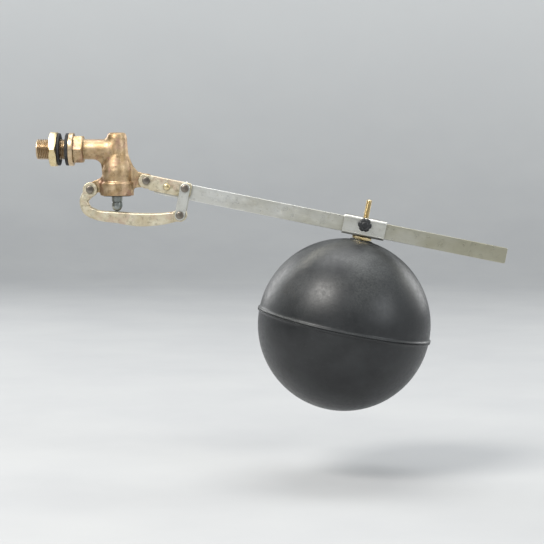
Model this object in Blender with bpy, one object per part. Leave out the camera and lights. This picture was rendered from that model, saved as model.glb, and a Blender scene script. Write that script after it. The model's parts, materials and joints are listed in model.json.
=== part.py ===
"""A compound-lever float valve, at rest with its float down and the valve open.

The frame's origin is on the inlet's axis, where the wall gasket meets the tank wall.
+X points into the tank along the float bar, +Z is up, and +Y is the far side.
Sizes below are in millimetres. The mesh builders turn them into metres.
"""

import math

import bmesh
import bpy
from mathutils import Matrix, Vector

MM = 0.001
FIT = 0.3  # the gap between two pieces that touch

# Driving dimensions of the linkage
BARREL_X = 52.0
ARM_TILT = math.radians(11.3)
ARM_PIVOT = (BARREL_X + 30.5, -31.9)
LEVER_PIVOT = (BARREL_X - 27.3, -41.0)
LINK_FOOT = (BARREL_X + 65.1, -67.2)
LINK_REACH = 40.7
BAR_END = 376.0
STEM_REACH = 228.0

# Inlet and its fittings
THREAD_R = 10.48
TAIL_END = -30.0
BORE_R = 6.5
GASKET_THICKNESS = 3.0
GASKET_R = 17.0
FLANGE_X = (3.3, 8.0)
HEX_X = (7.5, 18.0)
HEX_FLATS = 27.0
NECK_R = 10.0
WALL_GAP = 6.0
WASHER_THICKNESS = 2.0
BACKNUT_THICKNESS = 8.0
BACKNUT_FLATS = 30.0

# Barrel, from its axis and the inlet's height
BARREL_TOP = 15.5
BARREL_FOOT = -42.0
FOOT_R = 17.0
GUIDE_BORE_R = 12.0
SEAT_Z = -16.0
NOZZLE_BORE_R = 8.7
CHAMBER_R = 7.0
CHAMBER_TOP = 9.0

# Piston and its guide
STEM_R = 5.5
DISC_TOP = -25.2
DISC_R = 8.0
DISC_THICKNESS = 4.0
PISTON_HEAD_R = 9.6
PISTON_FOOT = -63.3
HUB_TOP = -34.3

# Thicknesses across the linkage, as half widths or (inner, outer) distances from its middle plane
BAR_HALF = 2.5
CHEEK_Y = (2.8, 5.8)
LINK_Y = (6.1, 8.6)
LEVER_LUG_HALF = 3.0
PIN_R = 2.5
PIN_HEAD_R = 3.9
PIN_HEAD_HEIGHT = 2.0
COTTER_R = 0.75
COTTER_INSET = 2.4
PIVOT_PIN_END = 10.4
LINK_PIN_END = 13.2

# Bar, measured up from the line through the arm's two pins
BAR_TOP = 5.0
BAR_FOOT = -11.0
CHEEK_TOP = 6.0
CHEEK_FOOT = -9.0
RIVET = (22.0, -2.0)

# Clamp and float
SHEET = 1.5
SADDLE_HALF = 22.0
KNOB_R = 7.0
KNOB_LENGTH = 12.0
ROD_R = 3.0
ROD_Y = BAR_HALF + FIT + ROD_R
ROD_TOP = 25.5
FLOAT_R = 89.5
FLOAT_WALL = 3.0
LOCKNUT_HEIGHT = 2.8
LOCKNUT_FLATS = 17.0
INSERT_R = 6.5
INSERT_DEPTH = 14.0
FLOAT_TOP = BAR_FOOT - 3.0 * FIT - SHEET - LOCKNUT_HEIGHT


def clear_scene():
    for obj in list(bpy.data.objects):
        bpy.data.objects.remove(obj, do_unlink=True)


def finish_material(name, colour, metallic, roughness):
    made = bpy.data.materials.new(name)
    made.use_nodes = True
    shader = made.node_tree.nodes["Principled BSDF"]
    shader.inputs["Base Color"].default_value = (*colour, 1.0)
    shader.inputs["Metallic"].default_value = metallic
    shader.inputs["Roughness"].default_value = roughness
    made.diffuse_color = (*colour, 1.0)
    return made


def make_materials():
    return {
        "bronze": finish_material("bronze", (0.56, 0.42, 0.27), 1.0, 0.38),
        "brass": finish_material("brass", (0.70, 0.58, 0.36), 1.0, 0.30),
        "steel": finish_material("steel", (0.74, 0.71, 0.62), 1.0, 0.32),
        "pin_steel": finish_material("pin_steel", (0.20, 0.17, 0.13), 1.0, 0.45),
        "piston_metal": finish_material("piston_metal", (0.13, 0.13, 0.12), 0.6, 0.40),
        "black_plastic": finish_material("black_plastic", (0.02, 0.02, 0.021), 0.0, 0.42),
        "rubber": finish_material("rubber", (0.03, 0.03, 0.03), 0.0, 0.75),
    }


def add_mesh(name, bm, material=None, parent=None, smooth_angle=35.0):
    bmesh.ops.recalc_face_normals(bm, faces=bm.faces)
    mesh = bpy.data.meshes.new(name)
    bm.to_mesh(mesh)
    bm.free()
    mesh.transform(Matrix.Scale(MM, 4))
    mesh.shade_smooth()
    mesh.set_sharp_from_angle(angle=math.radians(smooth_angle))
    obj = bpy.data.objects.new(name, mesh)
    bpy.context.scene.collection.objects.link(obj)
    if material:
        mesh.materials.append(material)
    if parent:
        obj.parent = parent
    return obj


def add_empty(name, location, parent=None, turn_y=0.0):
    """A joint's place: an empty that its moving pieces are parented to."""
    empty = bpy.data.objects.new(name, None)
    bpy.context.scene.collection.objects.link(empty)
    empty.location = Vector(location) * MM
    empty.rotation_euler = (0.0, turn_y, 0.0)
    empty.parent = parent
    return empty


def hide_helper(obj):
    obj.hide_render = True
    obj.display_type = "WIRE"
    return obj


def boolean(obj, tool, operation):
    hide_helper(tool)
    modifier = obj.modifiers.new(tool.name, "BOOLEAN")
    modifier.operation = operation
    modifier.solver = "EXACT"
    modifier.object = tool
    return obj


# ---- mesh builders, all in millimetres ----


def turned(profile, segments=32):
    """A solid of revolution about Z, from a closed outline of (radius, height) points."""
    bm = bmesh.new()
    rings = []
    for radius, height in profile:
        if radius < 1e-6:
            rings.append([bm.verts.new((0.0, 0.0, height))])
            continue
        ring = []
        for i in range(segments):
            angle = 2.0 * math.pi * i / segments
            ring.append(bm.verts.new((radius * math.cos(angle), radius * math.sin(angle), height)))
        rings.append(ring)
    for below, above in zip(rings, rings[1:] + rings[:1]):
        for i in range(segments):
            j = (i + 1) % segments
            corners = [below[i % len(below)], below[j % len(below)]]
            corners += [above[j % len(above)], above[i % len(above)]]
            corners = list(dict.fromkeys(corners))
            if len(corners) > 2:
                bm.faces.new(corners)
    return bm


def prism(outline, low, high):
    """An outline of (x, z) points, extruded along Y from low to high."""
    bm = bmesh.new()
    near = [bm.verts.new((x, low, z)) for x, z in outline]
    far = [bm.verts.new((x, high, z)) for x, z in outline]
    bm.faces.new(near)
    bm.faces.new(far)
    for i in range(len(outline)):
        j = (i + 1) % len(outline)
        bm.faces.new((near[i], near[j], far[j], far[i]))
    return bm


def turn_mesh(bm, axis):
    """Turns a solid made about Z so that its axis lies along X or Y."""
    turn = Matrix.Rotation(math.radians(90.0), 4, "Y" if axis == "X" else "X")
    if axis == "Y":
        turn = turn.inverted()
    bmesh.ops.transform(bm, matrix=turn, verts=bm.verts)
    return bm


def move_mesh(bm, x=0.0, y=0.0, z=0.0):
    bmesh.ops.translate(bm, vec=(x, y, z), verts=bm.verts)
    return bm


def rod(radius, low, high, segments=24):
    return turned([(0.0, low), (radius, low), (radius, high), (0.0, high)], segments)


def tube(inner, outer, low, high, segments=32):
    return turned([(inner, low), (outer, low), (outer, high), (inner, high)], segments)


def cross_rod(radius, low, high, x=0.0, z=0.0, segments=24):
    """A cylinder along Y."""
    return move_mesh(turn_mesh(rod(radius, low, high, segments), "Y"), x=x, z=z)


def arc(centre, radius, start, end, steps):
    """Points on an arc in the XZ plane, with its angles in degrees from +X towards +Z."""
    points = []
    for i in range(steps + 1):
        angle = math.radians(start + (end - start) * i / steps)
        points.append((centre[0] + radius * math.cos(angle), centre[1] + radius * math.sin(angle)))
    return points


def bar_outline(start, end, start_r, end_r, steps=12):
    """The outline of a strap with two round ends."""
    dx, dz = end[0] - start[0], end[1] - start[1]
    along = math.degrees(math.atan2(dz, dx))
    lean = math.degrees(math.acos((start_r - end_r) / math.hypot(dx, dz)))
    round_end = arc(end, end_r, along - lean, along + lean, steps)
    round_start = arc(start, start_r, along + lean, along - lean + 360.0, steps)
    return round_end + round_start


def smooth_station(stations, t):
    """A point of a Catmull-Rom curve through the stations, t running from 0 to their count less 1."""
    i = min(int(t), len(stations) - 2)
    u = t - i
    before = stations[max(i - 1, 0)]
    after = stations[min(i + 2, len(stations) - 1)]
    mixed = []
    for a, b, c, d in zip(before, stations[i], stations[i + 1], after):
        cubic = (-a + 3 * b - 3 * c + d) * u**3 + (2 * a - 5 * b + 4 * c - d) * u**2
        mixed.append(0.5 * (cubic + (c - a) * u + 2 * b))
    return mixed


def band_outline(stations, steps):
    """The outline of a curved band, from stations of (x, z, half width) along its middle."""
    left, right = [], []
    for i in range(steps + 1):
        t = (len(stations) - 1) * i / steps
        x, z, half = smooth_station(stations, t)
        ahead = smooth_station(stations, min(t + 0.01, len(stations) - 1))
        back = smooth_station(stations, max(t - 0.01, 0.0))
        way = Vector((ahead[0] - back[0], ahead[1] - back[1])).normalized()
        left.append((x - way.y * half, z + way.x * half))
        right.append((x + way.y * half, z - way.x * half))
    return left + right[::-1]


def hexagon(flats, low, high, inner=None):
    """A hex prism along Z with chamfered corners, bored out where inner is given."""
    corner_r = flats / 2.0 / math.cos(math.radians(30.0))
    obj = add_mesh("hexagon", rod(corner_r, low, high, 6))
    clear_r = corner_r + 0.1
    face_r = corner_r - 1.3
    drop = (high - low) * 0.12
    cone = turned(
        [
            (0.0, low),
            (face_r, low),
            (clear_r, low + drop),
            (clear_r, high - drop),
            (face_r, high),
            (0.0, high),
        ]
    )
    boolean(obj, add_mesh("hexagon_chamfer", cone, parent=obj), "INTERSECT")
    if inner:
        bore = rod(inner, low - 1.0, high + 1.0, 32)
        boolean(obj, add_mesh("hexagon_bore", bore, parent=obj), "DIFFERENCE")
    return obj


# ---- the valve's body ----


def inlet_profile():
    """The inlet's outside as (radius, distance along X), a solid bar that is bored later."""
    return [
        (0.0, TAIL_END),
        (THREAD_R - 1.2, TAIL_END),
        (THREAD_R, TAIL_END + 1.2),
        (THREAD_R, FLANGE_X[0] - 2.0),
        (THREAD_R - 1.0, FLANGE_X[0] - 1.0),
        (THREAD_R - 1.0, FLANGE_X[0]),
        (GASKET_R - 0.6, FLANGE_X[0]),
        (GASKET_R, FLANGE_X[0] + 0.6),
        (GASKET_R, FLANGE_X[1] - 0.6),
        (GASKET_R - 0.6, FLANGE_X[1]),
        (NECK_R, FLANGE_X[1]),
        (NECK_R, BARREL_X - 3.0),
        (0.0, BARREL_X - 3.0),
    ]


def barrel_profile():
    """The barrel's outside as (radius, height), widening from its closed top to its foot."""
    return [
        (0.0, BARREL_TOP),
        (7.0, BARREL_TOP),
        (8.8, BARREL_TOP - 0.8),
        (9.8, BARREL_TOP - 2.6),
        (10.6, 4.0),
        (11.4, -5.0),
        (12.8, -11.0),
        (14.3, -16.5),
        (15.0, -21.0),
        (15.0, -32.0),
        (15.6, -33.2),
        (FOOT_R, -34.0),
        (FOOT_R, BARREL_FOOT + 0.8),
        (FOOT_R - 0.8, BARREL_FOOT),
        (0.0, BARREL_FOOT),
    ]


def barrel_bore_profile():
    """The nozzle's seat and chamber, and the piston's guide bore below them."""
    return [
        (0.0, CHAMBER_TOP + 2.0),
        (CHAMBER_R - 3.0, CHAMBER_TOP),
        (CHAMBER_R, CHAMBER_TOP - 3.0),
        (CHAMBER_R, SEAT_Z + 10.0),
        (NOZZLE_BORE_R, SEAT_Z + 10.0),
        (NOZZLE_BORE_R, SEAT_Z),
        (GUIDE_BORE_R, SEAT_Z),
        (GUIDE_BORE_R, BARREL_FOOT - 1.0),
        (0.0, BARREL_FOOT - 1.0),
    ]


def arm_lug_outline():
    """The web that flares out of the barrel and ends in the eye of the arm's pivot."""
    x, z = ARM_PIVOT
    eye = arc(ARM_PIVOT, 7.0, 100.0, -110.0, 14)
    upper = [(BARREL_X + 4.0, -6.0), (BARREL_X + 12.0, -9.0), (BARREL_X + 16.5, -17.0), (x - 9.0, z + 9.0)]
    lower = [(BARREL_X + 16.0, -39.5), (BARREL_X + 13.5, -30.0)]
    return upper + eye + lower


def lever_lug_outline():
    """The lug on the barrel's near side to the wall, with the eye of the lower lever's pivot."""
    z = LEVER_PIVOT[1]
    return arc(LEVER_PIVOT, 6.6, 105.0, 255.0, 12) + [(BARREL_X - 14.0, z - 1.4), (BARREL_X - 13.6, z + 13.0)]


def neck_rib_outline():
    """The rib in the corner under the inlet's neck."""
    return [
        (BARREL_X - 26.0, -6.0),
        (BARREL_X - 21.0, -10.2),
        (BARREL_X - 16.0, -14.5),
        (BARREL_X - 13.0, -24.0),
        (BARREL_X - 12.5, -6.0),
    ]


def make_body(finish):
    body = add_mesh("valve_body", turn_mesh(turned(inlet_profile(), 36), "X"), finish["bronze"])
    hex_ring = hexagon(HEX_FLATS, HEX_X[0], HEX_X[1])
    hex_ring.rotation_euler = (0.0, math.radians(90.0), 0.0)
    boolean(body, hex_ring, "UNION")
    barrel = add_mesh("body_barrel", move_mesh(turned(barrel_profile(), 46), x=BARREL_X))
    boolean(body, barrel, "UNION")
    boolean(body, add_mesh("body_rib", prism(neck_rib_outline(), -4.0, 4.0)), "UNION")
    boolean(body, add_mesh("body_arm_lug", prism(arm_lug_outline(), -BAR_HALF, BAR_HALF)), "UNION")
    lug = prism(lever_lug_outline(), -LEVER_LUG_HALF, LEVER_LUG_HALF)
    boolean(body, add_mesh("body_lever_lug", lug), "UNION")
    barrel_bore = move_mesh(turned(barrel_bore_profile(), 38), x=BARREL_X)
    boolean(body, add_mesh("body_barrel_bore", barrel_bore), "DIFFERENCE")
    inlet_bore = turn_mesh(rod(BORE_R, TAIL_END - 1.0, BARREL_X - 1.0, 32), "X")
    boolean(body, add_mesh("body_inlet_bore", inlet_bore), "DIFFERENCE")
    for name, (x, z) in (("body_arm_eye", ARM_PIVOT), ("body_lever_eye", LEVER_PIVOT)):
        eye = cross_rod(PIN_R + FIT, -9.0, 9.0, x, z)
        boolean(body, add_mesh(name, eye), "DIFFERENCE")
    return body


def make_inlet_fittings(finish):
    gasket = turn_mesh(tube(THREAD_R + FIT, GASKET_R - 0.4, 0.0, GASKET_THICKNESS), "X")
    add_mesh("wall_gasket", gasket, finish["rubber"])
    seat = add_empty("backnut_axis", (-WALL_GAP - WASHER_THICKNESS, 0.0, 0.0))
    washer = turn_mesh(tube(THREAD_R + FIT, GASKET_R - 0.4, 0.0, WASHER_THICKNESS), "X")
    add_mesh("backnut_washer", washer, finish["rubber"], seat)
    nut = hexagon(BACKNUT_FLATS, -BACKNUT_THICKNESS - FIT, -FIT, THREAD_R + FIT)
    nut.name = "tank_backnut"
    nut.data.materials.append(finish["brass"])
    nut.rotation_euler = (0.0, math.radians(90.0), 0.0)
    nut.parent = seat


def make_nozzle(finish):
    profile = [
        (4.5, SEAT_Z + 9.7),
        (NOZZLE_BORE_R - FIT, SEAT_Z + 9.7),
        (NOZZLE_BORE_R - FIT, SEAT_Z - FIT),
        (10.2, SEAT_Z - FIT),
        (10.2, SEAT_Z - 2.3),
        (6.6, SEAT_Z - 2.3),
        (6.0, SEAT_Z - 3.8),
        (5.2, SEAT_Z - 3.8),
        (4.5, SEAT_Z - 2.6),
    ]
    add_mesh("seat_nozzle", move_mesh(turned(profile), x=BARREL_X), finish["brass"])


def make_guide_cap(finish):
    """The cap in the barrel's foot. It guides the piston's stem, and water leaves by its six ports."""
    top = HUB_TOP - 2.0
    profile = [
        (STEM_R + FIT, HUB_TOP),
        (STEM_R + 1.4, HUB_TOP),
        (STEM_R + 1.6, top),
        (GUIDE_BORE_R - FIT, top),
        (GUIDE_BORE_R - FIT, BARREL_FOOT - FIT),
        (GUIDE_BORE_R + 2.0, BARREL_FOOT - FIT),
        (GUIDE_BORE_R + 1.6, BARREL_FOOT - 2.3),
        (STEM_R + FIT, BARREL_FOOT - 2.3),
    ]
    cap = add_mesh("guide_cap", move_mesh(turned(profile), x=BARREL_X), finish["black_plastic"])
    for i in range(6):
        angle = math.radians(60.0 * i + 30.0)
        port = rod(2.2, BARREL_FOOT - 4.0, top + 1.0, 12)
        move_mesh(port, x=BARREL_X + 8.75 * math.cos(angle), y=8.75 * math.sin(angle))
        boolean(cap, add_mesh(f"cap_port_{i}", port), "DIFFERENCE")


# ---- piston ----


def make_piston(finish):
    axis = add_empty("piston_axis", (BARREL_X, 0.0, 0.0))
    disc_foot = DISC_TOP - DISC_THICKNESS
    head_foot = HUB_TOP + FIT
    nose = arc((0.0, PISTON_FOOT + STEM_R), STEM_R, -90.0, 0.0, 5)
    profile = [(0.0, disc_foot - FIT), (DISC_R + FIT, disc_foot - FIT), (DISC_R + FIT, disc_foot + 2.4)]
    profile += [(PISTON_HEAD_R, disc_foot + 2.4), (PISTON_HEAD_R, head_foot), (STEM_R, head_foot)]
    profile += [(max(x, 0.0), z) for x, z in reversed(nose)]
    piston = add_mesh("piston", turned(profile, 28), finish["piston_metal"], axis)
    for i in range(2):
        wing = prism([(-11.5, -33.6), (11.5, -33.6), (11.5, -28.0), (-11.5, -28.0)], -1.0, 1.0)
        bmesh.ops.rotate(wing, matrix=Matrix.Rotation(math.radians(90.0 * i), 3, "Z"), verts=wing.verts)
        helper = add_mesh(f"piston_wing_{i}", wing, parent=axis)
        boolean(piston, helper, "UNION")
    pocket = rod(DISC_R + FIT, disc_foot - FIT, disc_foot + 5.0, 28)
    boolean(piston, add_mesh("piston_pocket", pocket, parent=axis), "DIFFERENCE")
    hole = rod(2.0, disc_foot - 5.0, disc_foot + 1.0, 16)
    boolean(piston, add_mesh("piston_screw_hole", hole, parent=axis), "DIFFERENCE")
    disc = tube(2.0, DISC_R, disc_foot, DISC_TOP, 28)
    add_mesh("seat_disc", disc, finish["rubber"], axis)
    screw = turned(
        [
            (0.0, disc_foot - 4.6),
            (1.7, disc_foot - 4.6),
            (1.7, DISC_TOP + FIT),
            (3.4, DISC_TOP + FIT),
            (3.0, DISC_TOP + 1.9),
            (0.0, DISC_TOP + 1.9),
        ],
        16,
    )
    add_mesh("disc_screw", screw, finish["brass"], axis)


# ---- pins ----


def make_pin(name, reach, head_at, end, parent, finish):
    """A headed pin along Y with its head towards -Y, and the split pin through its far end."""
    profile = [
        (0.0, head_at - PIN_HEAD_HEIGHT),
        (PIN_HEAD_R - 0.7, head_at - PIN_HEAD_HEIGHT),
        (PIN_HEAD_R, head_at - PIN_HEAD_HEIGHT + 0.6),
        (PIN_HEAD_R, head_at),
        (PIN_R, head_at),
        (PIN_R, end - 0.6),
        (PIN_R - 0.6, end),
        (0.0, end),
    ]
    x, z = reach
    bm = move_mesh(turn_mesh(turned(profile, 20), "Y"), x=x, z=z)
    pin = add_mesh(name, bm, finish["pin_steel"], parent)
    cotter_y = end - COTTER_INSET
    hole = move_mesh(rod(COTTER_R + FIT, -4.0, 4.0, 12), x=x, y=cotter_y, z=z)
    boolean(pin, add_mesh(name + "_hole", hole, parent=parent), "DIFFERENCE")
    make_cotter(name.replace("_pin", "_cotter"), (x, cotter_y, z), parent, finish)


def make_cotter(name, place, parent, finish):
    """A split pin: its leg runs down through the pin, and its eye rests on the pin's top."""
    leg_foot, eye_foot, eye_r = -4.6, 3.2, 1.9
    leg = [(0.9, leg_foot), (0.0, (leg_foot + eye_foot) / 2.0)]
    route = leg + arc((-eye_r, eye_foot), eye_r, 0.0, 255.0, 9)
    curve = bpy.data.curves.new(name, "CURVE")
    curve.dimensions = "3D"
    curve.bevel_depth = COTTER_R * MM
    curve.bevel_resolution = 2
    curve.use_fill_caps = True
    spline = curve.splines.new("POLY")
    spline.points.add(len(route) - 1)
    for point, (x, z) in zip(spline.points, route):
        point.co = (x * MM, 0.0, z * MM, 1.0)
    curve.materials.append(finish["steel"])
    obj = bpy.data.objects.new(name, curve)
    bpy.context.scene.collection.objects.link(obj)
    obj.location = Vector(place) * MM
    obj.parent = parent


# ---- arm, link and lower lever ----


def cheek_outline():
    """A side plate of the arm's fork, round about the pivot and clipped past the link's pin."""
    end = LINK_REACH + 6.5
    foot = arc((0.0, 0.0), 8.0, 131.4, 290.0, 12)
    return [
        (end - 3.0, CHEEK_TOP),
        *foot,
        (6.0, CHEEK_FOOT),
        (end - 3.0, CHEEK_FOOT),
        (end, CHEEK_FOOT + 4.0),
        (end, CHEEK_TOP - 3.0),
    ]


def make_arm(finish):
    """The arm's pieces are modelled along X and tilted with the empty at the pivot."""
    x, z = ARM_PIVOT
    arm = add_empty("arm_axis", (x, 0.0, z), turn_y=ARM_TILT)
    outline = [
        (10.0, BAR_FOOT + 3.0),
        (13.0, BAR_FOOT),
        (BAR_END - 1.5, BAR_FOOT),
        (BAR_END, BAR_FOOT + 1.5),
        (BAR_END, BAR_TOP - 1.5),
        (BAR_END - 1.5, BAR_TOP),
        (12.0, BAR_TOP),
        (10.0, BAR_TOP - 2.0),
    ]
    bar = add_mesh("float_bar", prism(outline, -BAR_HALF, BAR_HALF), finish["steel"], arm)
    rivet_x, rivet_z = RIVET
    pieces = {"bar": bar}
    for side, sign in (("front", -1.0), ("rear", 1.0)):
        low, high = sorted((sign * CHEEK_Y[0], sign * CHEEK_Y[1]))
        plate = prism(cheek_outline(), low, high)
        pieces[side] = add_mesh(f"arm_cheek_{side}", plate, finish["brass"], arm)
    holes = {
        "rivet": (rivet_x, rivet_z, 2.0 + FIT, ("bar", "front", "rear")),
        "link": (LINK_REACH, 0.0, PIN_R + FIT, ("bar", "front", "rear")),
        "pivot": (0.0, 0.0, PIN_R + FIT, ("front", "rear")),
    }
    for name, (hole_x, hole_z, radius, through) in holes.items():
        tool = add_mesh(f"arm_{name}_hole", cross_rod(radius, -9.0, 9.0, hole_x, hole_z, 20), parent=arm)
        for piece in through:
            boolean(pieces[piece], tool, "DIFFERENCE")
    head = CHEEK_Y[1] + FIT
    half = [(0.0, head + 1.3), (2.2, head + 0.9), (3.4, head), (2.0, head)]
    rivet = turned(half + [(r, -h) for r, h in reversed(half)], 16)
    rivet = move_mesh(turn_mesh(rivet, "Y"), x=rivet_x, z=rivet_z)
    add_mesh("bar_rivet", rivet, finish["brass"], arm)
    make_pin("link_upper_pin", (LINK_REACH, 0.0), -LINK_Y[1] - FIT, LINK_PIN_END, arm, finish)
    return arm


def link_head():
    """The link's upper pin, from the arm's pivot, tilt and reach."""
    x, z = ARM_PIVOT
    return x + LINK_REACH * math.cos(ARM_TILT), z - LINK_REACH * math.sin(ARM_TILT)


def make_link(finish):
    head_x, head_z = link_head()
    link = add_empty("link_axis", (head_x, 0.0, head_z))
    foot = (LINK_FOOT[0] - head_x, LINK_FOOT[1] - head_z)
    for side, sign in (("front", -1.0), ("rear", 1.0)):
        low, high = sorted((sign * LINK_Y[0], sign * LINK_Y[1]))
        strap = prism(bar_outline((0.0, 0.0), foot, 5.2, 5.2), low, high)
        plate = add_mesh(f"link_plate_{side}", strap, finish["steel"], link)
        for end, (x, z), radius in (("head", (0.0, 0.0), PIN_R + FIT), ("foot", foot, PIN_R + 0.8)):
            tool = cross_rod(radius, low - 1.0, high + 1.0, x, z, 24)
            boolean(plate, add_mesh(f"link_{side}_{end}", tool, parent=link), "DIFFERENCE")


def make_lower_lever(finish):
    """A fish-bellied lever whose near end hooks up to a fork on the barrel's lug."""
    x, z = LEVER_PIVOT
    lever = add_empty("lever_axis", (x, 0.0, z))
    foot = (LINK_FOOT[0] - x, LINK_FOOT[1] - z)
    barrel = BARREL_X - x
    stations = [
        (-1.5, -3.0, 5.0),
        (-6.6, -11.5, 3.8),
        (-3.6, -20.8, 4.3),
        (8.0, -26.6, 5.3),
        (barrel, -28.6, 6.0),
        (barrel + 22.0, -31.0, 6.9),
        (foot[0] - 20.0, -30.2, 6.2),
        (foot[0], foot[1] - 0.4, 5.0),
    ]
    beam = prism(band_outline(stations, 28), -4.3, 4.3)
    obj = add_mesh("lower_lever", beam, finish["brass"], lever)
    hook_stations = [(x, z, half + 0.2) for x, z, half in stations[:3] + [(2.0, -24.2, 4.4)]]
    hook = prism(band_outline(hook_stations, 13), -5.5, 5.5)
    boolean(obj, add_mesh("lever_hook", hook, parent=lever), "UNION")
    for name, (eye_x, eye_z), radius in (("pivot", (0.0, 0.0), 7.4), ("link", foot, 6.8)):
        eye = cross_rod(radius, -5.8, 5.8, eye_x, eye_z, 28)
        boolean(obj, add_mesh(f"lever_{name}_eye", eye, parent=lever), "UNION")
    slot = cross_rod(8.0, -LEVER_LUG_HALF - FIT, LEVER_LUG_HALF + FIT, segments=32)
    boolean(obj, add_mesh("lever_slot", slot, parent=lever), "DIFFERENCE")
    for name, (eye_x, eye_z) in (("pivot", (0.0, 0.0)), ("link", foot)):
        hole = cross_rod(PIN_R + FIT, -9.0, 9.0, eye_x, eye_z)
        boolean(obj, add_mesh(f"lever_{name}_hole", hole, parent=lever), "DIFFERENCE")
    make_pin("link_lower_pin", foot, -LINK_Y[1] - FIT, LINK_PIN_END, lever, finish)


# ---- clamp and float ----


def make_clamp(arm, finish):
    """A folded sheet around the bar. The knob's stud presses the bar back against the float's rod."""
    clamp = add_empty("clamp_axis", (STEM_REACH, 0.0, 0.0), arm)
    inner_low, inner_high = BAR_FOOT - FIT, BAR_TOP + FIT
    web_y = -BAR_HALF - FIT
    rear = ROD_Y + ROD_R + 3.0
    saddle = bmesh.new()
    section = [
        (rear, inner_high),
        (rear, inner_high + SHEET),
        (web_y - SHEET + 0.6, inner_high + SHEET),
        (web_y - SHEET, inner_high + SHEET - 0.6),
        (web_y - SHEET, inner_low - SHEET + 0.6),
        (web_y - SHEET + 0.6, inner_low - SHEET),
        (rear, inner_low - SHEET),
        (rear, inner_low),
        (web_y, inner_low),
        (web_y, inner_high),
    ]
    near = [saddle.verts.new((-SADDLE_HALF, y, z)) for y, z in section]
    far = [saddle.verts.new((SADDLE_HALF, y, z)) for y, z in section]
    saddle.faces.new(near)
    saddle.faces.new(far)
    for i in range(len(section)):
        j = (i + 1) % len(section)
        saddle.faces.new((near[i], near[j], far[j], far[i]))
    obj = add_mesh("clamp_saddle", saddle, finish["steel"], clamp)
    rod_hole = move_mesh(rod(ROD_R + FIT, -40.0, 40.0, 20), y=ROD_Y)
    boolean(obj, add_mesh("saddle_rod_hole", rod_hole, parent=clamp), "DIFFERENCE")
    stud_hole = cross_rod(PIN_R + FIT, -9.0, -1.0, segments=20)
    boolean(obj, add_mesh("saddle_stud_hole", stud_hole, parent=clamp), "DIFFERENCE")
    make_knob(clamp, web_y, finish)
    return clamp


def make_knob(clamp, web_y, finish):
    """A scalloped knob moulded on a stud. Its axis runs along Y."""
    knob = add_empty("knob_axis", (0.0, 0.0, 0.0), clamp)
    face = web_y - SHEET - FIT
    end = face - KNOB_LENGTH
    hub_r = 4.2
    socket_end = end + 3.0
    profile = [
        (PIN_R + FIT, face),
        (hub_r, face),
        (hub_r, face - 2.0),
        (KNOB_R, face - 3.2),
        (KNOB_R, end + 1.6),
        (KNOB_R - 1.6, end),
        (0.0, end),
        (0.0, socket_end),
        (PIN_R + FIT, socket_end),
    ]
    obj = add_mesh("clamp_knob", turn_mesh(turned(profile, 32), "Y"), finish["black_plastic"], knob)
    for i in range(6):
        angle = math.radians(60.0 * i + 30.0)
        place = (KNOB_R + 1.5) * math.cos(angle), (KNOB_R + 1.5) * math.sin(angle)
        groove = cross_rod(2.4, end - 1.0, face - 2.4, *place, 12)
        boolean(obj, add_mesh(f"knob_groove_{i}", groove, parent=knob), "DIFFERENCE")
    stud = cross_rod(PIN_R, socket_end + FIT, web_y, segments=20)
    add_mesh("clamp_stud", stud, finish["brass"], knob)


def half_shell(upper):
    """One half of the hollow float: a bowl with a flat welding rim."""
    steps = 11
    rim_r, rim_z, split = FLOAT_R + 1.2, 1.8, FIT / 2.0
    inner_r = FLOAT_R - FLOAT_WALL
    outer = arc((0.0, 0.0), FLOAT_R, math.degrees(math.asin(rim_z / FLOAT_R)), 90.0, steps)
    inner = arc((0.0, 0.0), inner_r, 90.0, 0.0, steps)
    outer[-1] = (0.0, FLOAT_R)
    inner[0] = (0.0, inner_r)
    inner[-1] = (inner_r, split)
    profile = [(rim_r, split), (rim_r, rim_z), *outer, *inner]
    if not upper:
        profile = [(r, -z) for r, z in reversed(profile)]
    return turned(profile, 40)


def make_float(clamp, finish):
    """The float hangs on a threaded rod that passes behind the bar. Its origin is on the rod's axis."""
    axis = add_empty("float_axis", (0.0, ROD_Y, 0.0), clamp)
    centre = FLOAT_TOP - FLOAT_R
    insert_low = FLOAT_TOP - INSERT_DEPTH
    pieces = {}
    for name, upper in (("float_shell_upper", True), ("float_shell_lower", False)):
        shell = move_mesh(half_shell(upper), z=centre)
        pieces[name] = add_mesh(name, shell, finish["black_plastic"], axis)
    boss = rod(INSERT_R + 4.0, insert_low - 3.0, FLOAT_TOP - 1.5, 24)
    boolean(pieces["float_shell_upper"], add_mesh("float_boss", boss, parent=axis), "UNION")
    pocket = rod(INSERT_R + FIT, insert_low - FIT, FLOAT_TOP + 2.0, 24)
    boolean(pieces["float_shell_upper"], add_mesh("float_pocket", pocket, parent=axis), "DIFFERENCE")
    insert = turned(
        [
            (0.0, insert_low),
            (INSERT_R, insert_low),
            (INSERT_R, FLOAT_TOP),
            (ROD_R + FIT, FLOAT_TOP),
            (ROD_R + FIT, insert_low + 2.0),
            (0.0, insert_low + 2.0),
        ],
        24,
    )
    add_mesh("float_insert", insert, finish["brass"], axis)
    rod_low = insert_low + 2.0 + FIT
    profile = [
        (0.0, rod_low),
        (ROD_R, rod_low),
        (ROD_R, ROD_TOP - 0.8),
        (ROD_R - 0.8, ROD_TOP),
        (0.0, ROD_TOP),
    ]
    add_mesh("float_rod", turned(profile, 20), finish["brass"], axis)
    nut = hexagon(LOCKNUT_FLATS, FLOAT_TOP + FIT, FLOAT_TOP + FIT + LOCKNUT_HEIGHT, ROD_R + FIT)
    nut.name = "float_locknut"
    nut.data.materials.append(finish["brass"])
    nut.parent = axis


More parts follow.
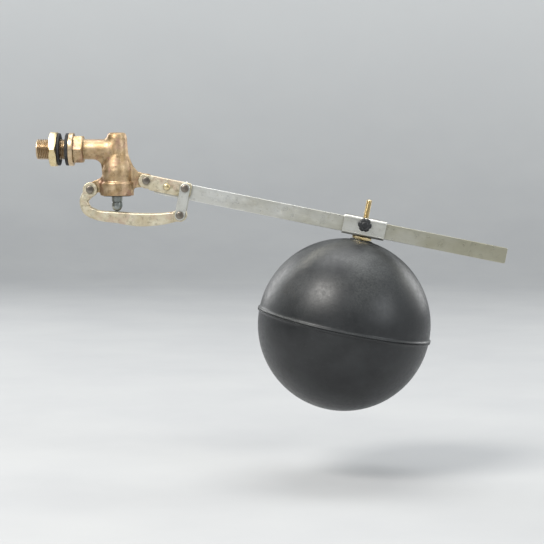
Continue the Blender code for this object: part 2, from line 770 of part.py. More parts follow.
def main():
    clear_scene()
    finish = make_materials()
    make_body(finish)
    make_inlet_fittings(finish)
    make_nozzle(finish)
    make_guide_cap(finish)
    make_piston(finish)
    pivot = add_empty("pivot_pins", (0.0, 0.0, 0.0))
    make_pin("arm_pivot_pin", ARM_PIVOT, -CHEEK_Y[1] - FIT, PIVOT_PIN_END, pivot, finish)
    make_pin("lever_pivot_pin", LEVER_PIVOT, -CHEEK_Y[1] - FIT, PIVOT_PIN_END, pivot, finish)
    arm = make_arm(finish)
    make_link(finish)
    make_lower_lever(finish)
    clamp = make_clamp(arm, finish)
    make_float(clamp, finish)
    bpy.context.view_layer.update()


main()
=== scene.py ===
"""Looks for the compound-lever float valve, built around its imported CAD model.

Shapes are made in millimetres, each in the axes of its own place, and are scaled to metres as they
become objects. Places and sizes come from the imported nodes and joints.
"""

import json
import math

import bmesh
import bpy
import numpy as np
from mathutils import Matrix, Vector


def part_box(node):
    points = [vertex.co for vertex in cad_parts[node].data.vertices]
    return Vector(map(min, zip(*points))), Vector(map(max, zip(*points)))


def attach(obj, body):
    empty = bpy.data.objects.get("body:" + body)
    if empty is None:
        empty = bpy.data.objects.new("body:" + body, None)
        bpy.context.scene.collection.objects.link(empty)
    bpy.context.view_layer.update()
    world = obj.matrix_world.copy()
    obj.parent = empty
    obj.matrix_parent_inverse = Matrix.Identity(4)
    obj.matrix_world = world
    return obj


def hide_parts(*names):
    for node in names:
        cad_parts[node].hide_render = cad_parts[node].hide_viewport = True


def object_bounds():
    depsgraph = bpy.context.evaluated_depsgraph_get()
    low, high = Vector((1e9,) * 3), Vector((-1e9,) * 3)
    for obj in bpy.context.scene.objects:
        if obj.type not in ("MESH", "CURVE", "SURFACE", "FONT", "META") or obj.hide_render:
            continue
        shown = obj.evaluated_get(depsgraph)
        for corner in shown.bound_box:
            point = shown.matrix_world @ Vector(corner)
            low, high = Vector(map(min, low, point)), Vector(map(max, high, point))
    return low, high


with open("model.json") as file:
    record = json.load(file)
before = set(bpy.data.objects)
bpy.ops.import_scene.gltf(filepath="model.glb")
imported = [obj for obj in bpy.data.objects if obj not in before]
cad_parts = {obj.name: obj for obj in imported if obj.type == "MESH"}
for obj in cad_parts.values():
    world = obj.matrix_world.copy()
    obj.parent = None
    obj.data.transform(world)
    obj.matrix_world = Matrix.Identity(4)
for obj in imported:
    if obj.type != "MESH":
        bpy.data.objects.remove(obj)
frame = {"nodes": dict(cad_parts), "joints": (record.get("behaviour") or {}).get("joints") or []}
CAD_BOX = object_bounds()

MM = 0.001
NET_STEP = 0.5
FIT = 0.3
BORE_R = 6.5
THREAD_R = 10.48
THREAD_PITCH = 1.814
THREAD_DEPTH = 1.16
NECK_R = 10.0
HEX_FLATS = 27.0
HEX_END = 18.0
SEAT_Z = -16.0
GUIDE_BORE_R = 12.0
STEM_R = 5.5
PIN_R = 2.5
PIN_HOLE_R = PIN_R + FIT
COTTER_INSET = 2.4
RIVET_PLACE = (22.0, -2.0)
SHARP = 40.0
STRAIGHT = math.radians(168.0)


# -- places and sizes from the frame --


def joint_point(name, key="pos_m"):
    """A joint's place in metres, or another vector that the frame gives for it."""
    return Vector(next(j for j in frame["joints"] if j["name"] == name)[key])


def extent(node, place=Matrix.Identity(4)):
    """A CAD node's lowest and highest corners in millimetres, in the axes of a place."""
    back = place.inverted()
    points = np.array([back @ vertex.co for vertex in frame["nodes"][node].data.vertices]) / MM
    return Vector(points.min(axis=0)), Vector(points.max(axis=0))


def middle(node):
    low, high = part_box(node)
    return (low + high) / 2.0


bar_way = joint_point("clamp_slide", "axis")
ARM_TILT = math.atan2(-bar_way.z, bar_way.x)
ALONG_X = Matrix.Rotation(math.radians(90.0), 4, "Y")
ALONG_Y = Matrix.Rotation(math.radians(-90.0), 4, "X")
TOWARDS_FRONT = Matrix.Rotation(math.radians(90.0), 4, "X")
ARM = Matrix.Translation(joint_point("arm_swing")) @ Matrix.Rotation(ARM_TILT, 4, "Y")
LEVER = Matrix.Translation(joint_point("lower_lever_swing"))
KNOB = Matrix.Translation(joint_point("knob_turn")) @ Matrix.Rotation(ARM_TILT, 4, "Y")
BARREL = Matrix.Translation((middle("piston").x, 0.0, 0.0))
LINK_HEAD = joint_point("link_swing")
LINK_FOOT = middle("link_lower_pin")
rod_low, rod_high = extent("float_rod", KNOB)
ROD_R = (rod_high.x - rod_low.x) / 2.0
FLOAT = KNOB @ Matrix.Translation((0.0, (rod_low.y + rod_high.y) / 2.0 * MM, 0.0))


# -- outlines --


def arc(centre, radius, start, end, steps):
    """Points on an arc, its angles in degrees."""
    points = []
    for i in range(steps + 1):
        angle = math.radians(start + (end - start) * i / steps)
        points.append((centre[0] + radius * math.cos(angle), centre[1] + radius * math.sin(angle)))
    return points


def rounded(corners, radius, closed=True, steps=4):
    """An outline whose corners are eased into curves of about that radius."""
    points = []
    for i, corner in enumerate(corners):
        here = Vector(corner)
        back = Vector(corners[i - 1]) - here
        onward = Vector(corners[(i + 1) % len(corners)]) - here
        end_point = not closed and i in (0, len(corners) - 1)
        doubled = min(back.length, onward.length) < 1e-6
        if end_point or doubled or back.angle(onward) > STRAIGHT:
            points.append(tuple(here))
            continue
        full = radius / math.tan(back.angle(onward) / 2.0)
        reach = min(full, 0.48 * back.length, 0.48 * onward.length)
        start = here + back.normalized() * reach
        end = here + onward.normalized() * reach
        for k in range(steps + 1):
            t = k / steps
            points.append(tuple(start * (1 - t) ** 2 + here * 2 * t * (1 - t) + end * t**2))
    return points


def oblong(left, foot, right, top):
    return [(left, foot), (right, foot), (right, top), (left, top)]


def strap_outline(length, radius):
    """A strap along X whose two round ends are equal, the first of them about the origin."""
    return arc((length, 0.0), radius, -90.0, 90.0, 16) + arc((0.0, 0.0), radius, 90.0, 270.0, 16)


def smooth_station(stations, t):
    """A point of a Catmull-Rom curve through the stations, t running from 0 to their count less 1."""
    i = min(int(t), len(stations) - 2)
    u = t - i
    before = stations[max(i - 1, 0)]
    after = stations[min(i + 2, len(stations) - 1)]
    mixed = []
    for a, b, c, d in zip(before, stations[i], stations[i + 1], after):
        cubic = (-a + 3 * b - 3 * c + d) * u**3 + (2 * a - 5 * b + 4 * c - d) * u**2
        mixed.append(0.5 * (cubic + (c - a) * u + 2 * b))
    return mixed


def band_outline(stations, steps):
    """The outline of a curved band, from stations of (x, z, half width) along its middle."""
    left, right = [], []
    for i in range(steps + 1):
        t = (len(stations) - 1) * i / steps
        x, z, half = smooth_station(stations, t)
        ahead = smooth_station(stations, min(t + 0.01, len(stations) - 1))
        back = smooth_station(stations, max(t - 0.01, 0.0))
        way = Vector((ahead[0] - back[0], ahead[1] - back[1])).normalized()
        left.append((x - way.y * half, z + way.x * half))
        right.append((x + way.y * half, z - way.x * half))
    return left + right[::-1]


# -- meshes --


def add_piece(mesh, look, body, node, place, sharp=None):
    """Makes a mesh in millimetres into a piece that rides on a body and stands for a CAD node."""
    mesh.transform(Matrix.Scale(MM, 4))
    mesh.shade_smooth()
    if sharp:
        mesh.set_sharp_from_angle(angle=math.radians(sharp))
    mesh.materials.append(LOOKS[look])
    obj = bpy.data.objects.new(mesh.name, mesh)
    bpy.context.scene.collection.objects.link(obj)
    obj.matrix_world = place
    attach(obj, body)
    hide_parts(node)
    return obj


def add_plate(mesh, look, body, node, place):
    """Adds a plate whose broad faces are shaded flat beside its rounded edges."""
    plate = add_piece(mesh, look, body, node, place)
    plate.modifiers.new("flat_faces", "WEIGHTED_NORMAL").keep_sharp = True


def mesh_of(name, points, faces):
    mesh = bpy.data.meshes.new(name)
    mesh.from_pydata([tuple(p) for p in points], [], [tuple(int(i) for i in f) for f in faces])
    bm = bmesh.new()
    bm.from_mesh(mesh)
    bmesh.ops.recalc_face_normals(bm, faces=bm.faces)
    bm.to_mesh(mesh)
    bm.free()
    return mesh


def bridged(pairs):
    """The faces between pairs of rings of point numbers. A ring may be one point, repeated."""
    faces = []
    for below, above in pairs:
        for i in range(len(below)):
            j = (i + 1) % len(below)
            corners = list(dict.fromkeys((below[i], below[j], above[j], above[i])))
            if len(corners) > 2:
                faces.append(corners)
    return faces


def ring_mesh(name, rows, segments=96):
    """A shape about Z, from rings of (height, radius). Either may be one number or one for each
    segment. A ring of radius 0 is a point. Unless the first is one, the last ring meets the first."""
    angles = 2.0 * math.pi * np.arange(segments) / segments
    points, rings = [], []
    for height, radius in rows:
        first = len(points)
        if np.isscalar(radius) and radius < 1e-6:
            points.append((0.0, 0.0, float(height)))
            rings.append([first] * segments)
            continue
        radii = np.broadcast_to(radius, segments)
        heights = np.broadcast_to(height, segments)
        points.extend(zip(radii * np.cos(angles), radii * np.sin(angles), heights))
        rings.append(list(range(first, first + segments)))
    pairs = list(zip(rings, rings[1:]))
    if rings[0][0] != rings[0][1]:
        pairs.append((rings[-1], rings[0]))
    return mesh_of(name, points, bridged(pairs))


def turned_mesh(name, profile, edge):
    """A turned shape, from (radius, height) corners with their edges eased."""
    closed = profile[0][0] > 1e-6
    return ring_mesh(name, [(z, r) for r, z in rounded(profile, edge, closed)])


def inset(loop, distance):
    """A closed loop moved to its left by a distance."""
    moved = []
    for i, point in enumerate(loop):
        before, after = Vector(loop[i - 1]), Vector(loop[(i + 1) % len(loop)])
        way = (after - before).normalized()
        moved.append((point[0] - way.y * distance, point[1] + way.x * distance))
    return moved


def signed_area(loop):
    return 0.5 * sum(a[0] * b[1] - b[0] * a[1] for a, b in zip(loop, loop[1:] + loop[:1]))


def circle(centre, radius, steps=40):
    return arc(centre, radius, 0.0, 360.0, steps)[:-1]


def plate_mesh(name, outline, holes, low, high, edge):
    """A flat plate in the XZ plane from low to high along Y, with holes, and every edge rounded."""
    bm = bmesh.new()
    curve = [math.radians(a) for a in (90.0, 60.0, 30.0, 0.0)]
    eased = [(edge * (1 - math.cos(a)), edge * (1 - math.sin(a))) for a in curve]
    rims = {low: [], high: []}
    for loop, turn in [(outline, 1.0)] + [(hole, -1.0) for hole in holes]:
        if signed_area(loop) * turn < 0.0:
            loop = loop[::-1]
        rows = [(inward, low + up) for inward, up in eased]
        rows += [(inward, high - up) for inward, up in eased[::-1]]
        rings = []
        for distance, y in rows:
            rings.append([bm.verts.new((x, y, z)) for x, z in inset(loop, distance)])
        for below, above in zip(rings, rings[1:]):
            for i in range(len(loop)):
                j = (i + 1) % len(loop)
                bm.faces.new((below[i], below[j], above[j], above[i]))
        for face, ring in ((low, rings[0]), (high, rings[-1])):
            rims[face] += [bm.edges.get((ring[i - 1], ring[i])) for i in range(len(ring))]
    for face, rim in rims.items():
        bmesh.ops.triangle_fill(bm, use_beauty=True, edges=rim, normal=(0.0, 1.0, 0.0))
    bmesh.ops.recalc_face_normals(bm, faces=bm.faces)
    mesh = bpy.data.meshes.new(name)
    bm.to_mesh(mesh)
    bm.free()
    return mesh


def thread_rows(radius, pitch, depth, low, high, segments=96, per_turn=12):
    """Rings of a right-handed thread that fades out at both ends."""
    around = np.arange(segments) / segments
    rows = []
    for height in np.linspace(low, high, int((high - low) / pitch * per_turn) + 1):
        tooth = np.abs(2.0 * ((height / pitch - around) % 1.0) - 1.0)
        cut = depth * np.clip((tooth - 0.14) / 0.72, 0.0, 1.0)
        fade = min(1.0, (height - low) / pitch, (high - height) / pitch)
        rows.append((height, radius - cut * fade))
    return rows


def hex_radius(flats, segments=96, sharpness=90):
    """A hexagon's radius at each segment, its corners slightly rounded."""
    angles = 2.0 * math.pi * np.arange(segments) / segments
    total = np.zeros(segments)
    for i in range(6):
        total += np.clip(np.cos(angles - i * math.pi / 3.0), 0.0, 1.0) ** sharpness
    return flats / 2.0 * total ** (-1.0 / sharpness)


def nut_rows(flats, low, high, bore, chamfer=30.0):
    """Rings of a hexagon nut with chamfered corners at both faces."""
    boundary = hex_radius(flats)
    face_r = flats / 2.0 * 0.965
    drop = np.clip(boundary - face_r, 0.0, None) * math.tan(math.radians(chamfer))
    half = [
        (0.7, bore),
        (0.0, bore + 0.7),
        (0.0, face_r - 0.3),
        (0.04, face_r),
        (drop, boundary - 0.05),
        (drop + 0.25, boundary),
    ]
    return [(low + inward, r) for inward, r in half] + [(high - inward, r) for inward, r in half[::-1]]


# -- cast shapes as fields --


def outline_distance(u, v, outline):
    """Signed distance from points in a plane to a closed outline, negative inside."""
    nearest = np.full(u.shape, np.inf)
    inside = np.zeros(u.shape, bool)
    for (au, av), (bu, bv) in zip(outline, outline[1:] + outline[:1]):
        du, dv = bu - au, bv - av
        length = du * du + dv * dv
        if length < 1e-9:
            continue
        share = np.clip(((u - au) * du + (v - av) * dv) / length, 0.0, 1.0)
        gap = (u - au - share * du) ** 2 + (v - av - share * dv) ** 2
        nearest = np.minimum(nearest, gap)
        if abs(dv) > 1e-12:
            inside ^= ((av > v) != (bv > v)) & (u < au + (v - av) * du / dv)
    return np.where(inside, -1.0, 1.0) * np.sqrt(nearest)


def turned_distance(across, along, profile):
    """Distance to a solid of revolution, from a profile of (radius, place along the axis)."""
    mirrored = profile + [(-r, a) for r, a in reversed(profile)]
    return outline_distance(across, along, mirrored)


def both(a, b, edge=0.0):
    """What is inside both fields, with the edge between them rounded."""
    inner = np.minimum(np.maximum(a, b) + edge, 0.0)
    return inner + np.hypot(np.maximum(a + edge, 0.0), np.maximum(b + edge, 0.0)) - edge


def joined(a, b, fillet):
    """What is inside either field, with a fillet between them."""
    share = np.clip(0.5 + 0.5 * (b - a) / fillet, 0.0, 1.0)
    return b + (a - b) * share - fillet * share * (1.0 - share)


def surface_net(name, field, low, high, step, rounds=3):
    """The surface where a field is zero, as an even mesh of quads drawn onto that surface."""
    low = np.array(low, float)
    counts = np.ceil((np.array(high) - low) / step).astype(int) + 1
    axes = [low[a] + step * np.arange(counts[a]) for a in range(3)]
    grid = np.stack(np.meshgrid(*axes, indexing="ij"), axis=-1).reshape(-1, 3)
    inside = (field(grid) < 0.0).reshape(counts)
    corners = sum(
        inside[i : counts[0] - 1 + i, j : counts[1] - 1 + j, k : counts[2] - 1 + k].astype(int)
        for i, j, k in np.ndindex(2, 2, 2)
    )
    mixed = (corners > 0) & (corners < 8)
    index = np.full(mixed.shape, -1)
    index[mixed] = np.arange(mixed.sum())
    points = np.argwhere(mixed) * step + low + step / 2.0
    quads = []
    for a in range(3):
        b_step, c_step = np.eye(3, dtype=int)[(a + 1) % 3], np.eye(3, dtype=int)[(a + 2) % 3]
        here = np.take(inside, range(counts[a] - 1), axis=a)
        ahead = np.take(inside, range(1, counts[a]), axis=a)
        at = np.argwhere(here != ahead)
        cells = [at - b_step - c_step, at - c_step, at, at - b_step]
        quads.append(np.stack([index[tuple(cell.T)] for cell in cells], axis=1))
    quads = np.concatenate(quads)
    for _ in range(rounds):
        points = evened(drawn(points, field), quads)
    points = drawn(drawn(points, field), field)
    return mesh_of(name, points, quads)


def drawn(points, field):
    """Points moved onto the field's zero surface along its slope."""
    reach = 0.04
    slope = np.stack([field(points + reach * a) - field(points - reach * a) for a in np.eye(3)], axis=1)
    slope /= 2.0 * reach
    steep = np.maximum((slope**2).sum(axis=1), 0.25)
    return points - slope * (field(points) / steep)[:, None]


def evened(points, quads):
    """Points moved half way to the middle of their neighbours."""
    total = np.zeros_like(points)
    count = np.zeros(len(points))
    for i in range(4):
        start, end = quads[:, i], quads[:, (i + 1) % 4]
        for here, there in ((start, end), (end, start)):
            for axis in range(3):
                total[:, axis] += np.bincount(here, points[there, axis], len(points))
            count += np.bincount(here, minlength=len(points))
    return 0.5 * points + 0.5 * total / count[:, None]


# -- materials --


class Look:
    """One material and its nodes. Methods that add a texture return its output socket."""

    def __init__(self, name, metallic, specular=0.5):
        self.material = bpy.data.materials.new(name)
        self.material.use_nodes = True
        self.tree = self.material.node_tree
        self.shader = self.tree.nodes["Principled BSDF"]
        self.shader.inputs["Metallic"].default_value = metallic
        self.shader.inputs["Specular IOR Level"].default_value = specular
        self.place = self.add("ShaderNodeTexCoord").outputs["Object"]

    def add(self, kind, inputs=None, **settings):
        made = self.tree.nodes.new(kind)
        for key, value in settings.items():
            setattr(made, key, value)
        for key, value in (inputs or {}).items():
            if isinstance(value, bpy.types.NodeSocket):
                self.tree.links.new(value, made.inputs[key])
            else:
                made.inputs[key].default_value = value
        return made

    def stretched(self, x, y, z):
        inputs = {"Vector": self.place, "Scale": (x, y, z)}
        return self.add("ShaderNodeMapping", inputs).outputs["Vector"]

    def noise(self, size_mm, detail=4.0, roughness=0.55, at=None, distortion=0.0):
        inputs = {
            "Vector": at or self.place,
            "Scale": 1.0 / (size_mm * MM),
            "Detail": detail,
            "Roughness": roughness,
            "Distortion": distortion,
        }
        return self.add("ShaderNodeTexNoise", inputs).outputs["Fac"]

    def spots(self, size_mm):
        inputs = {"Vector": self.place, "Scale": 1.0 / (size_mm * MM)}
        return self.add("ShaderNodeTexVoronoi", inputs, feature="F1").outputs["Distance"]

    def band(self, value, low, high, start=0.0, end=1.0):
        inputs = {"Value": value, "From Min": low, "From Max": high, "To Min": start, "To Max": end}
        return self.add("ShaderNodeMapRange", inputs, clamp=True).outputs["Result"]

    def maths(self, operation, a, b):
        return self.add("ShaderNodeMath", {0: a, 1: b}, operation=operation).outputs["Value"]

    def times(self, a, b):
        return self.maths("MULTIPLY", a, b)

    def plus(self, a, b):
        return self.maths("ADD", a, b)

    def mix(self, share, first, second):
        inputs = {"Factor": share}
        for key, value in ((6, first), (7, second)):
            inputs[key] = value if isinstance(value, bpy.types.NodeSocket) else (*value, 1.0)
        return self.add("ShaderNodeMix", inputs, data_type="RGBA").outputs[2]

    def edges(self, radius_mm, low=0.004, high=0.12):
        """1 where the surface turns within a radius, as along a worn edge."""
        bevel = self.add("ShaderNodeBevel", {"Radius": radius_mm * MM}, samples=6).outputs["Normal"]
        facing = self.add("ShaderNodeNewGeometry").outputs["Normal"]
        same = self.add("ShaderNodeVectorMath", {0: bevel, 1: facing}, operation="DOT_PRODUCT")
        return self.band(self.maths("SUBTRACT", 1.0, same.outputs["Value"]), low, high)

    def crevices(self, reach_mm):
        """1 deep in a corner, 0 on an open face."""
        inputs = {"Distance": reach_mm * MM}
        open_share = self.add("ShaderNodeAmbientOcclusion", inputs, samples=6).outputs["AO"]
        return self.band(open_share, 0.35, 0.95, 1.0, 0.0)

    def upward(self):
        """1 where the surface faces up, 0 where it faces sideways or down."""
        facing = self.add("ShaderNodeNewGeometry").outputs["Normal"]
        height = self.add("ShaderNodeSeparateXYZ", {"Vector": facing}).outputs["Z"]
        return self.band(height, 0.1, 0.95)

    def bump(self, height, depth_mm, under=None):
        inputs = {"Height": height, "Distance": depth_mm * MM, "Strength": 1.0}
        if under:
            inputs["Normal"] = under
        return self.add("ShaderNodeBump", inputs).outputs["Normal"]

    def finish(self, colour, roughness, normal):
        self.tree.links.new(colour, self.shader.inputs["Base Color"])
        self.tree.links.new(roughness, self.shader.inputs["Roughness"])
        self.tree.links.new(normal, self.shader.inputs["Normal"])
        return self.material


def cast_look(name, body, pale, rosy, dark, green, sand_mm=0.9):
    """Cast bronze: sandy skin, mottled tarnish, rubbed edges, and greenish grime with painted shade in its
    corners.
    """
    look = Look(name, 1.0)
    clouds = look.band(look.noise(12.0, 5.0, 0.6), 0.36, 0.66)
    colour = look.mix(clouds, body, pale)
    blush = look.band(look.noise(10.0, 3.0, 0.5, distortion=0.6), 0.50, 0.68, 0.0, 0.7)
    colour = look.mix(blush, colour, rosy)
    stains = look.band(look.noise(5.0, 6.0, 0.7), 0.52, 0.68, 0.0, 0.65)
    colour = look.mix(stains, colour, dark)
    # Painted shade with grime: a dark olive mixed in where ambient occlusion finds corners.
    corner = look.crevices(7.0)
    grime_and_shade = look.times(corner, look.band(look.noise(2.2, 5.0, 0.7), 0.30, 0.62))
    colour = look.mix(grime_and_shade, colour, green)
    rubbed = look.times(look.edges(0.9), look.band(look.noise(1.6, 4.0), 0.38, 0.62))
    colour = look.mix(rubbed, colour, pale)
    rough = look.band(look.noise(1.4, 6.0, 0.65), 0.3, 0.7, 0.34, 0.60)
    rough = look.maths("SUBTRACT", rough, look.times(rubbed, 0.14))
    rough = look.plus(rough, look.times(grime_and_shade, 0.18))
    sand = look.bump(look.noise(sand_mm, 5.0, 0.62), 0.14)
    pits = look.bump(look.band(look.spots(3.2), 0.0, 0.22), 0.05, sand)
    skin = look.bump(look.noise(6.0, 2.0, 0.5), 0.30, pits)
    return look.finish(colour, rough, skin)


def machined_look(name, body, pale, dark, grain, rough):
    """Turned or milled metal: fine marks drawn out by the grain's scale, with dull patches."""
    look = Look(name, 1.0)
    clouds = look.band(look.noise(7.0, 5.0, 0.6), 0.34, 0.68)
    colour = look.mix(clouds, body, pale)
    dull = look.band(look.noise(3.0, 6.0, 0.7), 0.55, 0.75, 0.0, 0.6)
    colour = look.mix(dull, colour, dark)
    # Painted shade with dirt: a darker copy of the metal's colour where ambient occlusion finds corners.
    dirt_and_shade = look.times(look.crevices(2.5), 0.65)
    colour = look.mix(dirt_and_shade, colour, tuple(0.35 * c for c in dark))
    marks = look.noise(0.55, 4.0, 0.6, at=look.stretched(*grain))
    colour = look.mix(look.band(marks, 0.55, 0.75, 0.0, 0.25), colour, dark)
    colour = look.mix(look.times(look.edges(0.35), 0.6), colour, pale)
    rough = look.band(look.noise(2.4, 5.0, 0.65), 0.3, 0.7, *rough)
    rough = look.plus(rough, look.times(dull, 0.12))
    lines = look.bump(marks, 0.012)
    dents = look.bump(look.band(look.noise(5.0, 2.0, 0.4), 0.62, 0.72), 0.02, lines)
    return look.finish(colour, rough, dents)


def strip_look(name, body, pale, stain, dimmed=None, dimmed_from=0.0, dimmed_to=1.0):
    """Rolled metal strip: long draw lines, scratches across them, and soft water stains. A darker colour
    comes in along its length, between two distances in metres: partly staining, partly painted highlight
    brighter at the pivot's end."""
    look = Look(name, 1.0)
    drawn_lines = look.noise(0.35, 4.0, 0.6, at=look.stretched(0.02, 1.0, 1.0))
    clouds = look.band(look.noise(22.0, 4.0, 0.55, at=look.stretched(0.45, 1.0, 1.0)), 0.36, 0.66)
    colour = look.mix(clouds, body, pale)
    if dimmed:
        # Painted highlight with staining: the colour darkens from the pivot's end towards the float.
        along = look.add("ShaderNodeSeparateXYZ", {"Vector": look.place}).outputs["X"]
        wander = look.band(look.noise(30.0, 3.0, 0.6), 0.3, 0.7, -0.05, 0.05)
        share = look.band(look.plus(along, wander), dimmed_from, dimmed_to, 0.0, 0.85)
        colour = look.mix(share, colour, dimmed)
    spotted = look.band(look.noise(3.6, 7.0, 0.72, distortion=0.4), 0.57, 0.72, 0.0, 0.5)
    colour = look.mix(spotted, colour, stain)
    colour = look.mix(look.band(drawn_lines, 0.56, 0.72, 0.0, 0.30), colour, stain)
    # Painted shade with grime: a darkened stain colour where ambient occlusion finds corners.
    grime_and_shade = look.times(look.crevices(3.0), 0.55)
    colour = look.mix(grime_and_shade, colour, tuple(0.4 * c for c in stain))
    colour = look.mix(look.times(look.edges(0.5), 0.7), colour, pale)
    scuffs = look.noise(1.2, 3.0, 0.5, at=look.stretched(0.9, 1.0, 0.08))
    scratches = look.band(scuffs, 0.66, 0.71)
    rough = look.band(look.noise(5.0, 6.0, 0.68), 0.3, 0.7, 0.24, 0.42)
    rough = look.plus(rough, look.times(spotted, 0.30))
    rough = look.plus(rough, look.times(scratches, 0.12))
    lines = look.bump(drawn_lines, 0.010)
    scored = look.bump(scratches, -0.012, lines)
    wavy = look.bump(look.noise(16.0, 2.0, 0.4), 0.10, scored)
    return look.finish(colour, rough, wavy)


def plastic_look(name, body, pale, rough, dust_and_light_share):
    """Moulded black plastic: faint orange peel, scuffs, and pale dust with painted top light where it
    faces up.
    """
    look = Look(name, 0.0, 0.45)
    clouds = look.band(look.noise(26.0, 5.0, 0.6), 0.35, 0.7, 0.0, 0.6)
    colour = look.mix(clouds, body, pale)
    broad = look.band(look.noise(38.0, 3.0, 0.5), 0.32, 0.66)
    fine = look.band(look.noise(1.8, 7.0, 0.78), 0.36, 0.66)
    # Dust and painted light: paler where the surface faces up, in patches from noise.
    dust_and_top_light = look.times(look.times(look.upward(), look.times(broad, fine)), dust_and_light_share)
    colour = look.mix(dust_and_top_light, colour, (0.20, 0.21, 0.20))
    specks = look.band(look.spots(2.6), 0.10, 0.05)
    fewer = look.band(look.noise(6.0, 3.0), 0.56, 0.66, 0.0, 0.35)
    colour = look.mix(look.times(specks, fewer), colour, (0.24, 0.25, 0.24))
    rubs = look.noise(1.6, 4.0, 0.6, at=look.stretched(0.25, 1.0, 0.9))
    scuffs = look.band(rubs, 0.62, 0.70, 0.0, 0.5)
    colour = look.mix(look.times(scuffs, 0.20), colour, (0.10, 0.10, 0.10))
    colour = look.mix(look.times(look.edges(0.6), 0.35), colour, (0.09, 0.09, 0.09))
    rough = look.band(look.noise(4.0, 6.0, 0.65), 0.3, 0.7, *rough)
    rough = look.plus(rough, look.times(dust_and_top_light, 0.35))
    rough = look.plus(rough, look.times(scuffs, 0.10))
    grain = look.bump(look.noise(0.5, 3.0, 0.5), 0.012)
    peel = look.bump(look.noise(2.2, 2.0, 0.4), 0.035, grain)
    swell = look.bump(look.noise(30.0, 2.0, 0.4), 0.22, peel)
    return look.finish(colour, rough, swell)


def rubber_look():
    """Black rubber with a grey bloom and a fine moulded grain."""
    look = Look("gasket_rubber", 0.0, 0.4)
    bloom = look.band(look.noise(3.0, 6.0, 0.7), 0.40, 0.70, 0.0, 0.6)
    colour = look.mix(bloom, (0.018, 0.018, 0.018), (0.075, 0.073, 0.070))
    colour = look.mix(look.times(look.edges(0.4), 0.5), colour, (0.10, 0.098, 0.094))
    rough = look.band(look.noise(1.5, 5.0, 0.6), 0.3, 0.7, 0.62, 0.85)
    grain = look.bump(look.noise(0.28, 4.0, 0.6), 0.025)
    return look.finish(colour, rough, grain)


LOOKS = {
    "body": cast_look(
        "cast_bronze", body=(0.40, 0.27, 0.14), pale=(0.66, 0.51, 0.33), rosy=(0.46, 0.26, 0.20),
        dark=(0.17, 0.115, 0.06), green=(0.09, 0.10, 0.045),
    ),
    "lever": cast_look(
        "lever_bronze", body=(0.60, 0.52, 0.36), pale=(0.78, 0.73, 0.58), rosy=(0.58, 0.43, 0.33),
        dark=(0.28, 0.23, 0.14), green=(0.14, 0.15, 0.08), sand_mm=0.7,
    ),
    "tail": machined_look(
        "machined_bronze", body=(0.55, 0.40, 0.24), pale=(0.72, 0.57, 0.38), dark=(0.30, 0.21, 0.12),
        grain=(1.0, 0.05, 0.05), rough=(0.26, 0.44),
    ),
    "brass": machined_look(
        "machined_brass", body=(0.66, 0.51, 0.26), pale=(0.82, 0.70, 0.44), dark=(0.36, 0.27, 0.13),
        grain=(0.06, 0.06, 1.0), rough=(0.22, 0.40),
    ),
    "steel": strip_look("plated_steel", (0.64, 0.63, 0.56), (0.84, 0.84, 0.79), (0.38, 0.36, 0.27)),
    "pin": machined_look(
        "dark_pin_steel", body=(0.13, 0.11, 0.09), pale=(0.30, 0.27, 0.23), dark=(0.06, 0.05, 0.04),
        grain=(0.06, 1.0, 0.06), rough=(0.28, 0.46),
    ),
    "bar": strip_look(
        "bar_steel", body=(0.70, 0.69, 0.62), pale=(0.86, 0.86, 0.82), stain=(0.40, 0.37, 0.26),
        dimmed=(0.46, 0.44, 0.32), dimmed_from=0.10, dimmed_to=0.33,
    ),
    "piston": machined_look(
        "piston_metal", body=(0.20, 0.22, 0.21), pale=(0.38, 0.40, 0.38), dark=(0.09, 0.10, 0.10),
        grain=(0.06, 0.06, 1.0), rough=(0.24, 0.40),
    ),
    "float": plastic_look(
        "float_plastic",
        body=(0.012, 0.013, 0.014), pale=(0.030, 0.032, 0.034), rough=(0.30, 0.46), dust_and_light_share=0.55,
    ),
    "knob": plastic_look(
        "knob_plastic",
        body=(0.014, 0.015, 0.016), pale=(0.028, 0.030, 0.031), rough=(0.34, 0.50), dust_and_light_share=0.20,
    ),
    "rubber": rubber_look(),
}


# -- the valve's body --


def beside_barrel(joint):
    """A joint's place in the barrel's axes, as (x, z) in millimetres."""
    point = BARREL.inverted() @ joint_point(joint) / MM
    return point.x, point.z


def barrel_profile(top, foot, foot_r):
    """The barrel's outside as (radius, height), widening from its closed top to its foot."""
    return [
        (0.0, top), (6.4, top), (8.2, top - 0.6), (9.4, top - 2.2),
        (10.1, top - 5.0), (10.7, 3.0), (11.4, -5.0), (12.8, -11.0),
        (14.2, -16.5), (15.0, -21.5), (15.0, -32.2), (15.6, -33.4),
        (foot_r - 0.5, -34.2), (foot_r, -34.9), (foot_r, foot + 0.8), (foot_r - 0.8, foot),
        (0.0, foot),
    ]


BARREL_BORE = [
    (0.0, 11.0), (4.0, 9.0), (7.0, 6.0),
    (7.0, SEAT_Z + 10.0), (8.7, SEAT_Z + 10.0), (8.7, SEAT_Z),
    (GUIDE_BORE_R, SEAT_Z), (GUIDE_BORE_R, -46.0), (0.0, -46.0),
]
NECK_RIB = [(-26.0, -6.0), (-21.0, -9.8), (-16.5, -14.2), (-13.0, -24.0), (-6.0, -24.0), (-6.0, -6.0)]


def arm_lug_outline(eye):
    """The web that flares out of the barrel and ends in the eye of the arm's pivot."""
    upper = [(0.0, -5.0), (11.0, -7.5), (16.5, -17.0), (eye[0] - 9.0, eye[1] + 9.0)]
    return rounded(upper, 5.0, False) + arc(eye, 7.0, 100.0, -110.0, 24) + [(16.0, -39.5), (0.0, -39.5)]


